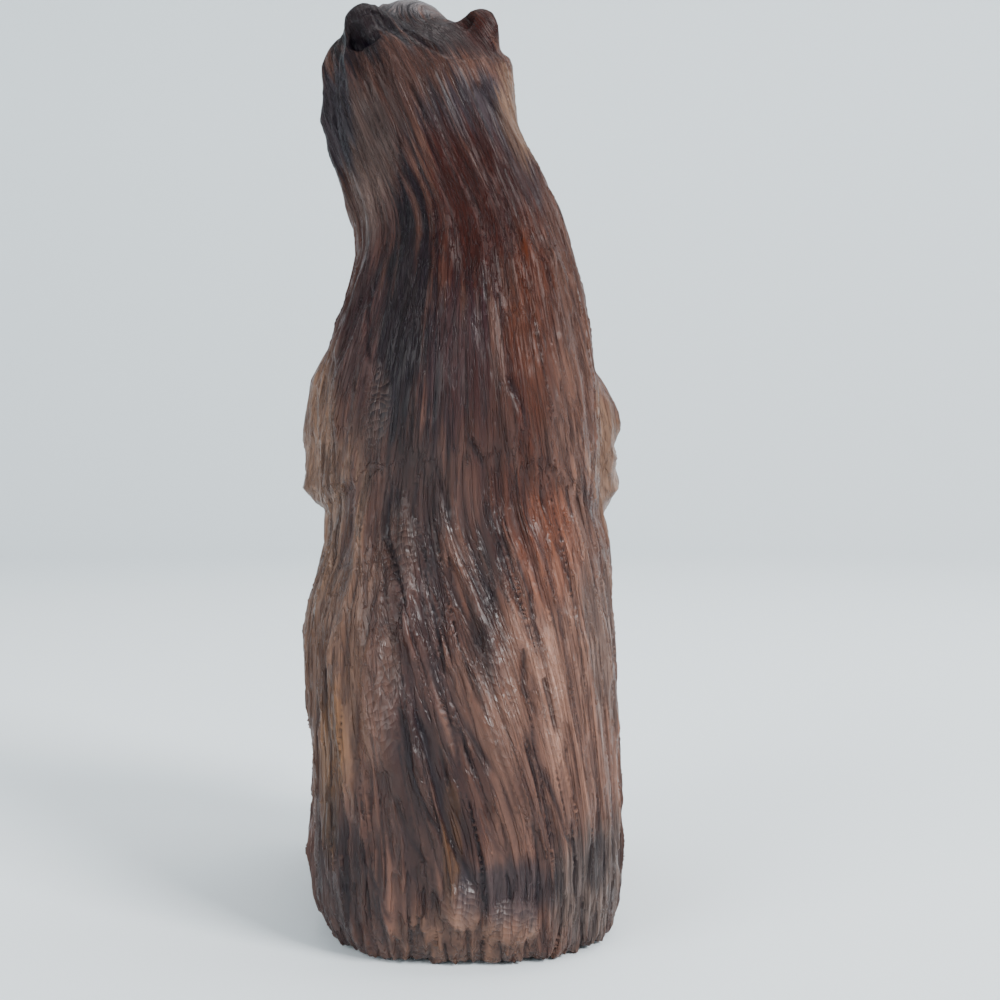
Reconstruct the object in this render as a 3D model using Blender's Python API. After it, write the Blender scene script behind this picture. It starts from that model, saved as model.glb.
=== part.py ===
"""A bear carved from one block of dense hardwood, sitting up and looking up.

The bear faces -Y and stands on its flat-cut underside at Z = 0, so its left is +X. It is one
solid. The body is lofted from a table of sections, head and limbs are blended into it, and the
locks of fur are then cut along the way that the fur lies. Pose, proportions and carving are
shares of the height.
"""

import math
import random

import bmesh
import bpy
import numpy as np
from mathutils import Euler, Vector
from mathutils.bvhtree import BVHTree
from mathutils.kdtree import KDTree

HEIGHT = 0.200  # the flat underside to the tip of the muzzle
LOCK_WIDTH = 0.0062  # across one lock of fur
LOCK_DEPTH = 0.0015  # the hollow of a lock below its ridges
LOCK_LENGTH = 0.036
MANE_STEP = 0.0010  # the fur of the nape stands this proud of the smooth crown
CREASE_STEP = 0.0016  # the fur of the upper back overhangs the haunches by this
TOE_GROOVE = 0.0018  # depth of the cuts between the toes
TOE_GAP = 0.0034

BLEND_VOXEL = 0.0009  # grain of the blend between the forms
BLEND_ROUNDS = 8  # smoothing passes over the seams between the forms
FACE_ROUNDS = 2
FOLD = math.radians(100)  # facets that meet at more than this are smoothed out
FOLD_ROUNDS = 12
LIMB_STEP = 0.012  # between the balls of a limb, as a share of the height
TRIANGLES = 9500  # facets of the carved skin, before the foot is cut flat
SECTION_SIDES = 96
SECTION_COUNT = 90
STROKE_STEP = 0.0014
TOE_SAMPLES = 24
SEED = 11

WOOD = (0.085, 0.036, 0.022, 1.0)


def mirrored(points):
    """A limb's points, on the other side of the bear."""
    return tuple((-point[0], *point[1:]) for point in points)


# Sections of the body, neck and skull, as shares of the height: level, middle (to the left),
# half width, back and front (both from the axis), and how square the section is.
SECTIONS = (
    (-0.030, -0.006, 0.135, 0.125, 0.130, 2.2),
    (0.000, -0.008, 0.155, 0.149, 0.160, 2.5),
    (0.030, -0.004, 0.164, 0.163, 0.178, 2.5),
    (0.070, -0.003, 0.167, 0.171, 0.194, 2.5),
    (0.170, -0.003, 0.166, 0.173, 0.212, 2.5),
    (0.260, 0.002, 0.168, 0.168, 0.216, 2.4),
    (0.330, 0.003, 0.168, 0.158, 0.208, 2.3),
    (0.390, -0.003, 0.159, 0.148, 0.193, 2.2),
    (0.440, 0.002, 0.152, 0.144, 0.178, 2.2),
    (0.500, 0.004, 0.153, 0.148, 0.168, 2.2),
    (0.560, 0.004, 0.149, 0.146, 0.163, 2.2),
    (0.620, 0.001, 0.138, 0.135, 0.157, 2.1),
    (0.670, -0.002, 0.126, 0.121, 0.150, 2.1),
    (0.700, 0.000, 0.119, 0.111, 0.145, 2.0),
    (0.740, 0.011, 0.118, 0.101, 0.140, 2.0),
    (0.780, 0.027, 0.115, 0.094, 0.132, 2.0),
    (0.820, 0.044, 0.109, 0.091, 0.116, 2.0),
    (0.860, 0.046, 0.104, 0.088, 0.098, 2.0),
    (0.900, 0.049, 0.097, 0.071, 0.075, 2.0),
    (0.925, 0.049, 0.070, 0.042, 0.055, 2.0),
    (0.940, 0.048, 0.040, 0.020, 0.035, 2.0),
)

HEAD_CENTRE = (0.050, -0.012, 0.855)
HEAD_PITCH = math.radians(36)  # the muzzle is raised
HEAD_TURN = math.radians(6)  # towards the bear's left
HEAD_LEAN = math.radians(6)

# Balls of the head in its own frame, muzzle along -Y: place and radii.
HEAD_BALLS = (
    ((0.000, -0.010, -0.004), (0.100, 0.100, 0.090)),
    ((0.000, -0.044, 0.048), (0.054, 0.064, 0.051)),
    ((0.000, 0.042, -0.078), (0.094, 0.084, 0.110)),
    ((0.042, -0.042, -0.028), (0.062, 0.074, 0.064)),
    ((-0.042, -0.042, -0.028), (0.062, 0.074, 0.064)),
    ((0.036, -0.086, 0.040), (0.022, 0.024, 0.018)),
    ((-0.036, -0.086, 0.040), (0.022, 0.024, 0.018)),
    ((0.000, -0.118, -0.052), (0.044, 0.052, 0.032)),
)
MUZZLE = ((0.0, -0.075, -0.012, 0.072), (0.0, -0.125, -0.015, 0.060), (0.0, -0.162, -0.014, 0.051))
NOSE = ((0.0, -0.207, 0.010), (0.027, 0.016, 0.019))
EYE = ((0.047, -0.106, 0.026), (0.014, 0.014, 0.014))

# The ears in the bear's frame: place and radii, then the hollow's place, way in and size.
EARS = (
    ((0.098, 0.034, 0.911), (0.031, 0.024, 0.032), (0.116, 0.058, 0.900), (-0.8, -0.5, 0.3)),
    ((-0.018, 0.030, 0.914), (0.027, 0.020, 0.032), (0.004, 0.044, 0.924), (-0.9, -0.4, -0.2)),
)
EAR_HOLLOW = 0.016
EAR_DEPTH = 0.012

# Limbs: points and radii, as shares of the height, for the side that the sign names.
LEFT_ARM = ((0.072, -0.010, 0.620, 0.060), (0.113, -0.030, 0.545, 0.061), (0.122, -0.050, 0.462, 0.060))
RIGHT_ARM = ((-0.072, -0.030, 0.600, 0.056), (-0.114, -0.050, 0.520, 0.058), (-0.117, -0.060, 0.460, 0.058))
LEFT_FOREARM = ((0.122, -0.050, 0.462, 0.060), (0.108, -0.140, 0.480, 0.059), (0.066, -0.190, 0.522, 0.057))
RIGHT_FOREARM = (
    (-0.117, -0.060, 0.460, 0.058), (-0.120, -0.130, 0.485, 0.057), (-0.120, -0.174, 0.540, 0.056),
)
THIGH = ((0.080, -0.050, 0.110, 0.088), (0.098, -0.145, 0.225, 0.080), (0.100, -0.180, 0.205, 0.074))
SHIN = ((0.100, -0.184, 0.195, 0.072), (0.100, -0.180, 0.075, 0.066))
FOOT = ((0.098, -0.145, 0.040, 0.066), (0.105, -0.222, 0.040, 0.065))

LIMBS = (
    LEFT_ARM, RIGHT_ARM, LEFT_FOREARM, RIGHT_FOREARM,
    THIGH, mirrored(THIGH), SHIN, mirrored(SHIN), FOOT, mirrored(FOOT),
)

# The edge between the fur of the nape and the smooth crown: two points on it, and the ways
# that face the fur from there.
MANE_EDGE = ((0.082, 0.030, 0.944), (0.681, -0.233, -0.695))
MANE_FOOT = ((0.024, 0.050, 0.881), (0.0, -0.380, -0.925))


def sized(shares):
    """Metres, from shares of the bear's height."""
    return tuple(value * HEIGHT for value in shares)


def ramp(low, high, value):
    """0 below low, 1 above high, smooth between."""
    t = min(1.0, max(0.0, (value - low) / (high - low)))
    return t * t * (3 - 2 * t)


def clear_scene():
    for thing in list(bpy.data.objects):
        bpy.data.objects.remove(thing, do_unlink=True)


def smooth_rows(rows, levels):
    """The rows of a table, read at the levels from a smooth curve through them."""
    rows = np.array(rows)
    keys = rows[:, 0]
    slopes = np.gradient(rows, keys, axis=0)
    spot = np.clip(np.searchsorted(keys, levels, side="right") - 1, 0, len(keys) - 2)
    gap = keys[spot + 1] - keys[spot]
    t = ((levels - keys[spot]) / gap)[:, None]
    span = gap[:, None]
    return (
        (2 * t**3 - 3 * t**2 + 1) * rows[spot]
        + (t**3 - 2 * t**2 + t) * span * slopes[spot]
        + (3 * t**2 - 2 * t**3) * rows[spot + 1]
        + (t**3 - t**2) * span * slopes[spot + 1]
    )


def body():
    """The trunk, neck and skull, bridged ring by ring from the underside up."""
    bm = bmesh.new()
    loops = [[bm.verts.new(point) for point in ring] for ring in body_rings()]
    for low, high in zip(loops, loops[1:]):
        for i in range(SECTION_SIDES):
            j = (i + 1) % SECTION_SIDES
            bm.faces.new((low[i], low[j], high[j], high[i]))
    bm.faces.new(reversed(loops[0]))
    bm.faces.new(loops[-1])
    return form_of(bm)


def body_rings():
    levels = np.linspace(SECTIONS[0][0], SECTIONS[-1][0], SECTION_COUNT)
    rings = []
    for level, middle, half, back, front, square in smooth_rows(SECTIONS, levels):
        ring = []
        for i in range(SECTION_SIDES):
            turn = 2 * math.pi * i / SECTION_SIDES
            across, along = math.cos(turn), math.sin(turn)
            reach = (abs(across) ** square + abs(along) ** square) ** (-1 / square)
            depth = back if along > 0 else front
            ring.append(sized((middle + half * across * reach, depth * along * reach, level)))
        rings.append(ring)
    return rings


def form_of(bm):
    """A bmesh's form, as its points and the corners of its faces."""
    bm.verts.index_update()
    points = np.array([vertex.co for vertex in bm.verts])
    faces = [[vertex.index for vertex in face.verts] for face in bm.faces]
    bm.free()
    return points, faces


def unit_ball():
    bm = bmesh.new()
    bmesh.ops.create_uvsphere(bm, u_segments=32, v_segments=20, radius=1)
    return form_of(bm)


def ball(place, radii, turn=None):
    """A ball, stretched, turned and placed, its sizes as shares of the height."""
    points, faces = BALL
    points = points * radii
    if turn is not None:
        points = points @ np.array(turn.to_matrix()).T
    return (points + place) * HEIGHT, faces


def limb_balls(points, place=None):
    """Balls along a limb's points, close enough to blend into one form."""
    points = np.array(points)
    balls = []
    for start, end in zip(points, points[1:]):
        steps = max(2, int(np.linalg.norm(end[:3] - start[:3]) / LIMB_STEP))
        for i in range(steps + 1):
            x, y, z, radius = start + (end - start) * i / steps
            spot = place((x, y, z)) if place else (x, y, z)
            balls.append(ball(spot, (radius, radius, radius)))
    return balls


def joined(forms):
    """The forms together in one mesh, still overlapping."""
    points = []
    faces = []
    for places, sides in forms:
        first = len(points)
        points.extend(map(tuple, places))
        faces.extend([first + corner for corner in side] for side in sides)
    mesh = bpy.data.meshes.new("forms")
    mesh.from_pydata(points, [], faces)
    return mesh


def head_turn():
    return Euler((-HEAD_PITCH, HEAD_LEAN, HEAD_TURN), "XYZ")


def head_place(point):
    """A point of the head's own frame, as shares of the height in the bear's frame."""
    return Vector(HEAD_CENTRE) + head_turn().to_matrix() @ Vector(point)


def in_head(spot):
    """A place in the bear's frame, read in the head's own frame."""
    return head_turn().to_matrix().transposed() @ (Vector(spot) - Vector(HEAD_CENTRE))


def head():
    turn = head_turn()
    balls = [ball(head_place(place), radii, turn) for place, radii in HEAD_BALLS]
    ears = [ball(place, radii) for place, radii, _, _ in EARS]
    return balls + limb_balls(MUZZLE, head_place) + ears


def face():
    """The eyes and the nose, small forms that the first blend would wash out."""
    x, y, z = EYE[0]
    eyes = [ball(head_place((side * x, y, z)), EYE[1]) for side in (1, -1)]
    return eyes + [ball(head_place(NOSE[0]), NOSE[1], head_turn())]


def shaped(mesh, dress):
    """The mesh as it comes out of the modifiers that dress puts on it."""
    thing = bpy.data.objects.new("shaped", mesh)
    bpy.context.collection.objects.link(thing)
    dress(thing.modifiers)
    graph = bpy.context.evaluated_depsgraph_get()
    made = bpy.data.meshes.new_from_object(thing.evaluated_get(graph))
    bpy.data.objects.remove(thing, do_unlink=True)
    return made


def blended(mesh, rounds):
    """Overlapping forms as one closed skin, with its seams smoothed."""

    def dress(modifiers):
        remesh = modifiers.new("Blend", "REMESH")
        remesh.mode = "VOXEL"
        remesh.voxel_size = BLEND_VOXEL
        smooth = modifiers.new("Soften", "SMOOTH")
        smooth.factor = 0.5
        smooth.iterations = rounds

    return shaped(mesh, dress)


def faceted(mesh):
    """The carved skin, with few enough facets for a solid."""

    def dress(modifiers):
        modifiers.new("Triangles", "TRIANGULATE")
        facets = modifiers.new("Facets", "DECIMATE")
        facets.ratio = TRIANGLES / (2 * len(mesh.polygons))

    return shaped(mesh, dress)


def make_skin():
    """The bear's bare form: body, head and limbs blended, then the small forms of the face."""
    forms = [body()] + head()
    for limb in LIMBS:
        forms += limb_balls(limb)
    skin = blended(joined(forms), BLEND_ROUNDS)
    bm = bmesh.new()
    bm.from_mesh(skin)
    return blended(joined([form_of(bm)] + face()), FACE_ROUNDS)


def lean_of_fur(x, y, z):
    """How far the fur leans to the bear's left as it runs down, by place."""
    nape = -0.42 - 0.35 * ramp(0.84, 0.92, z) * ramp(0.12, 0.02, x)
    shoulders = 2.2 * x
    sweep = -0.36 * math.exp(-(((x + 0.02) / 0.10) ** 2)) * ramp(0.06, 0.16, z)
    fan = 2.4 * x * ramp(0.36, 0.45, z)
    haunches = sweep * (1 - ramp(0.38, 0.45, z)) + fan
    back = haunches + (shoulders - haunches) * ramp(0.45, 0.49, z)
    back = back + (nape - back) * ramp(0.67, 0.75, z)
    front = 0.8 * x
    return front + (back - front) * ramp(-0.06, 0.03, y)


def fur_way(spot, normal):
    """The way the fur runs along the skin at a place."""
    x, y, z = spot / HEIGHT
    way = Vector((lean_of_fur(x, y, z), 0.0, -1.0))
    for limb in LIMBS:
        start, end = Vector(limb[0][:3]), Vector(limb[-1][:3])
        along = end - start
        share = min(1.0, max(0.0, (Vector((x, y, z)) - start).dot(along) / along.length_squared))
        off = (Vector((x, y, z)) - start - share * along).length
        pull = ramp(1.5 * limb[0][3], 0.9 * limb[0][3], off) * ramp(0.0, -0.05, y)
        way = way.lerp(along.normalized(), 0.9 * pull)
    way -= way.dot(normal) * normal
    return way.normalized() if way.length > 1e-6 else Vector((1, 0, 0))


def crown(spot):
    """1 on the smooth crown and face, 0 in the fur."""
    x, y, z = spot / HEIGHT
    place = Vector((x, y, z))
    edge = -(place - Vector(MANE_EDGE[0])).dot(Vector(MANE_EDGE[1]))
    foot = -(place - Vector(MANE_FOOT[0])).dot(Vector(MANE_FOOT[1]))
    top = min(ramp(0.0, 0.005, edge), ramp(0.0, 0.006, foot))
    muzzle = ramp(-0.055, -0.075, in_head((x, y, z)).y) * ramp(0.72, 0.76, z)
    return max(top, muzzle)


def trace(tree, seed, length):
    """A stroke along the fur through a seed: samples on the skin, and where each one is along it."""
    place, normal, _, _ = tree.find_nearest(seed)
    path = [place]
    for _ in range(int(length / STROKE_STEP)):
        place = place + STROKE_STEP * fur_way(place, normal)
        place, normal, _, _ = tree.find_nearest(place)
        path.append(place)
    return path


def spread(points, gap):
    """Points picked one after another, none nearer to the others than the gap."""
    picks = []
    cells = {}
    for point in points:
        cell = tuple(int(value // gap) for value in point)
        near = [
            other
            for dx in (-1, 0, 1)
            for dy in (-1, 0, 1)
            for dz in (-1, 0, 1)
            for other in cells.get((cell[0] + dx, cell[1] + dy, cell[2] + dz), ())
        ]
        if all((point - other).length > gap for other in near):
            cells.setdefault(cell, []).append(point)
            picks.append(point)
    return picks


def lock_strokes(mesh, tree):
    """Strokes for the locks of fur, evenly spread and each of its own length and depth."""
    dice = random.Random(SEED)
    places = [vertex.co.copy() for vertex in mesh.vertices]
    dice.shuffle(places)
    strokes = []
    for seed in spread(places, 1.15 * LOCK_WIDTH):
        length = LOCK_LENGTH * dice.uniform(0.55, 1.2)
        path = trace(tree, seed, length)
        depth = LOCK_DEPTH * dice.uniform(0.6, 1.15) * (1 - crown(seed))
        strokes.append((path, LOCK_WIDTH / 2 * dice.uniform(0.85, 1.25), depth))
    return strokes


def carve(points, normals, strokes):
    """Cuts a round-bottomed hollow along every stroke, shallow at both of its ends."""
    samples = []
    for path, half_width, depth in strokes:
        for i in range(len(path) - 1):
            along = (path[i + 1] - path[i]).normalized()
            share = i / (len(path) - 1)
            taper = ramp(0.0, 0.2, share) * ramp(1.0, 0.6, share)
            samples.append((path[i], along, half_width, depth * taper))
    tree = KDTree(len(samples))
    for i, sample in enumerate(samples):
        tree.insert(sample[0], i)
    tree.balance()
    for i, point in enumerate(points):
        cut = 0.0
        for _, index, _ in tree.find_n(point, 6):
            place, along, half_width, depth = samples[index]
            off = point - place
            off = (off - off.dot(along) * along).length
            cut = max(cut, depth * (1 - (off / half_width) ** 2))
        points[i] = point - cut * normals[i]


def arc_over(tree, end, across, low, high):
    """Samples on the skin, in an upright arc over the front of a limb's end ball."""
    x, y, z, radius = end
    path = []
    for i in range(TOE_SAMPLES + 1):
        turn = math.radians(low + (high - low) * i / TOE_SAMPLES)
        spot = (x + across, y - radius * math.cos(turn), z + radius * math.sin(turn))
        path.append(tree.find_nearest(Vector(sized(spot)))[0])
    return path


def toe_strokes(tree):
    """The cuts between the toes of feet and paws."""
    strokes = []
    for end, low, high in ((FOOT[-1], -20, 85), (mirrored(FOOT)[-1], -20, 85),
                           (LEFT_FOREARM[-1], -65, 40), (RIGHT_FOREARM[-1], -65, 40)):
        for step in (-1, 0, 1):
            path = arc_over(tree, end, step * 0.42 * end[3], low, high)
            strokes.append((path, TOE_GAP / 2, TOE_GROOVE))
    return strokes


def step_down(points, normals):
    """Lowers the smooth crown below the mane, and the haunches below the upper back."""
    for i, point in enumerate(points):
        x, y, z = point / HEIGHT
        low = MANE_STEP * crown(point) * ramp(0.80, 0.86, z) * ramp(-0.10, -0.02, y)
        line = 0.482 - 2.2 * x * x
        under = ramp(line + 0.006, line - 0.012, z) * ramp(line - 0.16, line - 0.01, z)
        low += CREASE_STEP * under * ramp(-0.06, 0.02, y) * (0.4 + 0.6 * ramp(0.02, 0.11, abs(x)))
        points[i] = point - low * normals[i]


def hollow_ears(points):
    """Dents each ear from its open side."""
    for _, _, place, way in EARS:
        middle = Vector(sized(place))
        push = Vector(way).normalized()
        for i, point in enumerate(points):
            off = (point - middle).length / (EAR_HOLLOW * HEIGHT)
            if off < 1:
                points[i] = point + EAR_DEPTH * HEIGHT * (1 - off * off) ** 2 * push


def smooth_folds(bm):
    """Eases the few facets that are folded over their neighbours."""
    for _ in range(FOLD_ROUNDS):
        folds = [edge for edge in bm.edges if edge.calc_face_angle(0.0) > FOLD]
        around = {vertex for edge in folds for vertex in edge.verts}
        bmesh.ops.smooth_vert(bm, verts=list(around), factor=0.5,
                              use_axis_x=True, use_axis_y=True, use_axis_z=True)


def cut_flat(bm):
    """Cuts the figure off flat at Z = 0."""
    parts = bm.verts[:] + bm.edges[:] + bm.faces[:]
    bmesh.ops.bisect_plane(bm, geom=parts, dist=1e-5, plane_no=(0, 0, 1), clear_inner=True)
    rim = [edge for edge in bm.edges if edge.is_boundary]
    bmesh.ops.holes_fill(bm, edges=rim, sides=0)
    bmesh.ops.triangulate(bm, faces=bm.faces[:])
    bmesh.ops.recalc_face_normals(bm, faces=bm.faces[:])


def centre(bm):
    """Puts the middle of the figure's box on the Z axis."""
    for axis in (0, 1):
        places = [vertex.co[axis] for vertex in bm.verts]
        shift = -(min(places) + max(places)) / 2
        for vertex in bm.verts:
            vertex.co[axis] += shift


def carved(skin):
    """The skin with its fur, creases, ears and toes cut."""
    bm = bmesh.new()
    bm.from_mesh(skin)
    tree = BVHTree.FromBMesh(bm)
    bm.free()
    points = [vertex.co.copy() for vertex in skin.vertices]
    normals = [vertex.normal.copy() for vertex in skin.vertices]
    strokes = lock_strokes(skin, tree)
    hollow_ears(points)
    step_down(points, normals)
    carve(points, normals, strokes)
    carve(points, normals, toe_strokes(tree))
    skin.vertices.foreach_set("co", [value for point in points for value in point])
    return skin


def make_bear():
    bm = bmesh.new()
    bm.from_mesh(faceted(carved(make_skin())))
    smooth_folds(bm)
    cut_flat(bm)
    centre(bm)
    mesh = bpy.data.meshes.new("carved_bear")
    bm.to_mesh(mesh)
    bm.free()
    bear = bpy.data.objects.new("carved_bear", mesh)
    bpy.context.collection.objects.link(bear)
    return bear


def paint(thing):
    wood = bpy.data.materials.new("oiled_hardwood")
    wood.use_nodes = True
    shader = wood.node_tree.nodes["Principled BSDF"]
    shader.inputs["Base Color"].default_value = WOOD
    shader.inputs["Roughness"].default_value = 0.35
    shader.inputs["Metallic"].default_value = 0.0
    thing.data.materials.clear()
    thing.data.materials.append(wood)
    thing.data.shade_smooth()


clear_scene()
BALL = unit_ball()
paint(make_bear())
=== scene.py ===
"""The carved bear, dressed: its gouged fur, its two-toned wood, a pale stage and soft light.

Metres, +Z up. The bear faces -Y and its left is +X. Pose and carving are shares of its height.
"""

import math
import random

import bmesh
import bpy
import numpy as np
from mathutils import Euler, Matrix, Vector
from mathutils.bvhtree import BVHTree


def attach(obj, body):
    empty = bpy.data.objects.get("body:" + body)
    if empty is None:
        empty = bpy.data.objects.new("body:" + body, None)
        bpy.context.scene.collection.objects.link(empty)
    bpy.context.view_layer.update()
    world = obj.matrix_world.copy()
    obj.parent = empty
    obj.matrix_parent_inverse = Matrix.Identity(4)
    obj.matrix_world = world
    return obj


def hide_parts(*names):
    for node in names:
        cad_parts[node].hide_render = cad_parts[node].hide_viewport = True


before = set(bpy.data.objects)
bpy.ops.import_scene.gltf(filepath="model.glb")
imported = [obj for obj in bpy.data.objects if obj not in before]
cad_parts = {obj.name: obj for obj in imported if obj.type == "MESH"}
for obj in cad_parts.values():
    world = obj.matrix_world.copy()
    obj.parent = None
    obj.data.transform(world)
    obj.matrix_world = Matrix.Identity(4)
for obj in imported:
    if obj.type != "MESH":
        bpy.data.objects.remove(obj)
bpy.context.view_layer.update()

HEIGHT = 0.200
AXIS = np.array((-0.00038, 0.01055, 0.0))  # the bear's own axis, in the frame
SEED = 23
MM = 0.001

# The camera stands squarely behind the bear at a little under half its height.
CAMERA_PLACE = (-0.00798, 0.25055, 0.0868)
CAMERA_TURN = (math.radians(90), 0.0, math.radians(180))
LENS = 41.04

SKIN_VOXEL = 0.00045
SKIN_ROUNDS = 10  # of smoothing, before the fur is cut
SKIN_TRIANGLES = 195000

STROKE_STEP = 0.0007  # from one sample of a stroke to the next
STROKE_MOST = 64  # samples in the longest stroke
SEED_PLACES = 60000  # skin points that a stroke may start from

# One row for each pass of the chisel: gap between strokes, their width, depth and length, all
# in mm, how far a stroke strays from the fur in degrees, and the power of its profile.
PASSES = (
    (5.0, (2.8, 4.0), (0.70, 1.20), (18, 44), 3, 2.0),
    (3.0, (1.5, 2.2), (0.45, 0.90), (14, 36), 3, 1.8),
    (2.6, (1.2, 1.6), (0.45, 0.90), (12, 32), 4, 1.3),
    (4.4, (1.3, 1.7), (0.95, 1.60), (16, 44), 3, 1.2),
)
BOLD_PASS = len(PASSES)
PLACED_POWER = 1.3  # the profile of every cut that is placed by itself
BEHIND = 0.1  # how far behind the bear its back is looked for

# Bold cuts in the back, as points across and up in mm, then width and depth.
BOLD_CUTS = (
    (((9.8, 54), (5.6, 43), (3.2, 35), (0.4, 25), (-2.4, 18), (-7.2, 10)), 2.9, 1.6),
    (((10.8, 42), (7.8, 35), (5.0, 29), (0.6, 22)), 2.3, 1.3),
    (((-13.6, 50), (-15.0, 40), (-18.6, 31), (-20.6, 25), (-24.4, 19), (-25.4, 14)), 2.6, 1.4),
    (((-16.0, 56), (-19.4, 41)), 2.3, 1.4),
    (((3.2, 56), (-1.0, 47), (-5.0, 40), (-9.4, 33)), 2.5, 1.4),
    (((12.6, 35), (8.6, 25), (3.6, 17)), 2.2, 1.3),
    (((14.0, 92), (14.0, 80), (10.4, 70), (7.4, 60)), 2.9, 1.6),
    (((5.0, 96), (2.6, 88), (0.0, 77)), 2.2, 1.1),
    (((-1.4, 100), (-5.0, 93), (-5.6, 85)), 2.3, 1.1),
    (((-8.6, 112), (-13.0, 103), (-14.0, 96)), 2.3, 1.1),
    (((-10.8, 78), (-13.8, 70), (-15.2, 61)), 2.5, 1.5),
    (((17.4, 172), (13.4, 164)), 1.3, 0.8),
    (((10.6, 170), (7.2, 163), (6.2, 157)), 1.3, 0.8),
    (((-1.6, 172), (-9.0, 163), (-14.4, 154)), 1.4, 0.9),
    (((17.6, 132), (17.8, 118), (16.0, 108)), 2.0, 1.0),
    (((-12.0, 62), (-12.6, 52), (-16.6, 44)), 2.3, 1.3),
    (((20.6, 30), (17.6, 20), (12.6, 10), (9.0, 4)), 2.5, 1.3),
    (((24.6, 26), (22.6, 16), (18.4, 8)), 2.3, 1.3),
    (((27.6, 28), (26.6, 16), (23.4, 8)), 2.2, 1.3),
    (((-4.0, 30), (-9.8, 20), (-13.0, 13)), 2.2, 1.1),
    (((-21.6, 60), (-23.4, 46), (-25.6, 34)), 2.2, 1.1),
    (((22.0, 181.5), (21.6, 179.1), (19.8, 177.9), (17.6, 178.5), (15.6, 180.3)), 3.0, 1.9),
    (((20.8, 183.5), (19.0, 185.1), (16.2, 185.1), (14.2, 183.1)), 1.3, 0.9),
    (((13.8, 185.1), (11.1, 181.5), (7.1, 177.9), (2.0, 174.0)), 1.6, 1.0),
)

# Where rows of short chips show on the back: the middle and half size across and up, and the
# step from one chip to the next, in mm.
CHIPS = (
    ((-8.6, 52), (4.4, 15), (0.95, -1.25)),
    ((14.6, 50), (3.6, 12), (-1.00, -1.35)),
    ((10.6, 77), (3.0, 8), (-0.70, -1.35)),
    ((15.4, 104), (2.6, 7), (-0.60, -1.35)),
    ((-17.8, 50), (2.8, 12), (0.50, -1.60)),
    ((-1.0, 12), (3.2, 4), (0.60, -1.20)),
    ((-10.2, 9), (5.2, 4), (0.10, -1.20)),
)
CHIP_PLACE_Y = 0.035  # about where the back is, front to back
CHIP_REACH_Y = 0.03
CHIP_COLUMN = 2.4  # how wide a column of chips is, in mm
CHIP_SHIFT = 0.37  # how far each column's chips start past the last one's, in chips
CHIP_PROFILE = 1.4  # 1 is a flat tilted chip, more is a hollow one
CHIP_HEIGHT = 3.4  # against the height of the fine grain
CHIP_EDGE = (1.3, 0.5)  # where the chips end and where they are whole, in half sizes
CHIP_CALM = 0.45  # how much of the fur's strokes is left among the chips

# How strongly the chisel bites, where 1 is the haunches.
FRONT_BITE = 0.42  # the hidden front, against the back
UPPER_BITE = 0.36  # the middle of the upper back
UPPER_SIDE_BITE = 0.34  # as much again at the upper back's sides
CROWN_CALM = 0.94  # how much of the bite is taken off the crown and face

# The head's middle in shares of the height, and its turn from level and straight ahead. Then
# the two planes that bound the smooth crown, each as a point in it and the way towards the fur.
HEAD_CENTRE = (0.050, -0.012, 0.855)
HEAD_TURN = Euler((-math.radians(36), math.radians(6), math.radians(6)), "XYZ")
MANE_EDGE = ((0.082, 0.030, 0.944), (0.681, -0.233, -0.695))
MANE_FOOT = ((0.024, 0.050, 0.881), (0.0, -0.380, -0.925))

# Cuts in the head, as points in its own frame in shares of the height, then width and depth in
# mm: the mouth, the line under the nose and the nostrils.
FACE_CUTS = (
    (((0.000, -0.214, -0.020), (0.030, -0.196, -0.034), (0.050, -0.160, -0.040),
      (0.062, -0.118, -0.042), (0.068, -0.090, -0.030)), 1.4, 1.0),
    (((0.000, -0.214, -0.020), (-0.030, -0.196, -0.034), (-0.050, -0.160, -0.040),
      (-0.062, -0.118, -0.042), (-0.068, -0.090, -0.030)), 1.4, 1.0),
    (((0.000, -0.218, -0.004), (0.000, -0.214, -0.020)), 1.1, 0.8),
    (((0.011, -0.224, 0.010), (0.020, -0.214, 0.014)), 1.5, 1.0),
    (((-0.011, -0.224, 0.010), (-0.020, -0.214, 0.014)), 1.5, 1.0),
)
EYE_PLACE = (0.047, -0.106, 0.026)
EYE_RING = 0.0165  # the radius of the crease round an eye, in shares of the height
EYE_RING_OUT = 0.004
EYE_RING_CUT = (1.1, 0.7)

# The limbs' first and last points and the radius there, for the way that their fur runs.
LIMB_LINES = (
    ((0.072, -0.010, 0.620), (0.122, -0.050, 0.462), 0.060),
    ((-0.072, -0.030, 0.600), (-0.117, -0.060, 0.460), 0.056),
    ((0.122, -0.050, 0.462), (0.066, -0.190, 0.522), 0.060),
    ((-0.117, -0.060, 0.460), (-0.120, -0.174, 0.540), 0.058),
    ((0.080, -0.050, 0.110), (0.100, -0.180, 0.205), 0.088),
    ((-0.080, -0.050, 0.110), (-0.100, -0.180, 0.205), 0.088),
    ((0.100, -0.184, 0.195), (0.100, -0.180, 0.075), 0.072),
    ((-0.100, -0.184, 0.195), (-0.100, -0.180, 0.075), 0.072),
    ((0.098, -0.145, 0.040), (0.105, -0.222, 0.040), 0.066),
    ((-0.098, -0.145, 0.040), (-0.105, -0.222, 0.040), 0.066),
)

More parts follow.
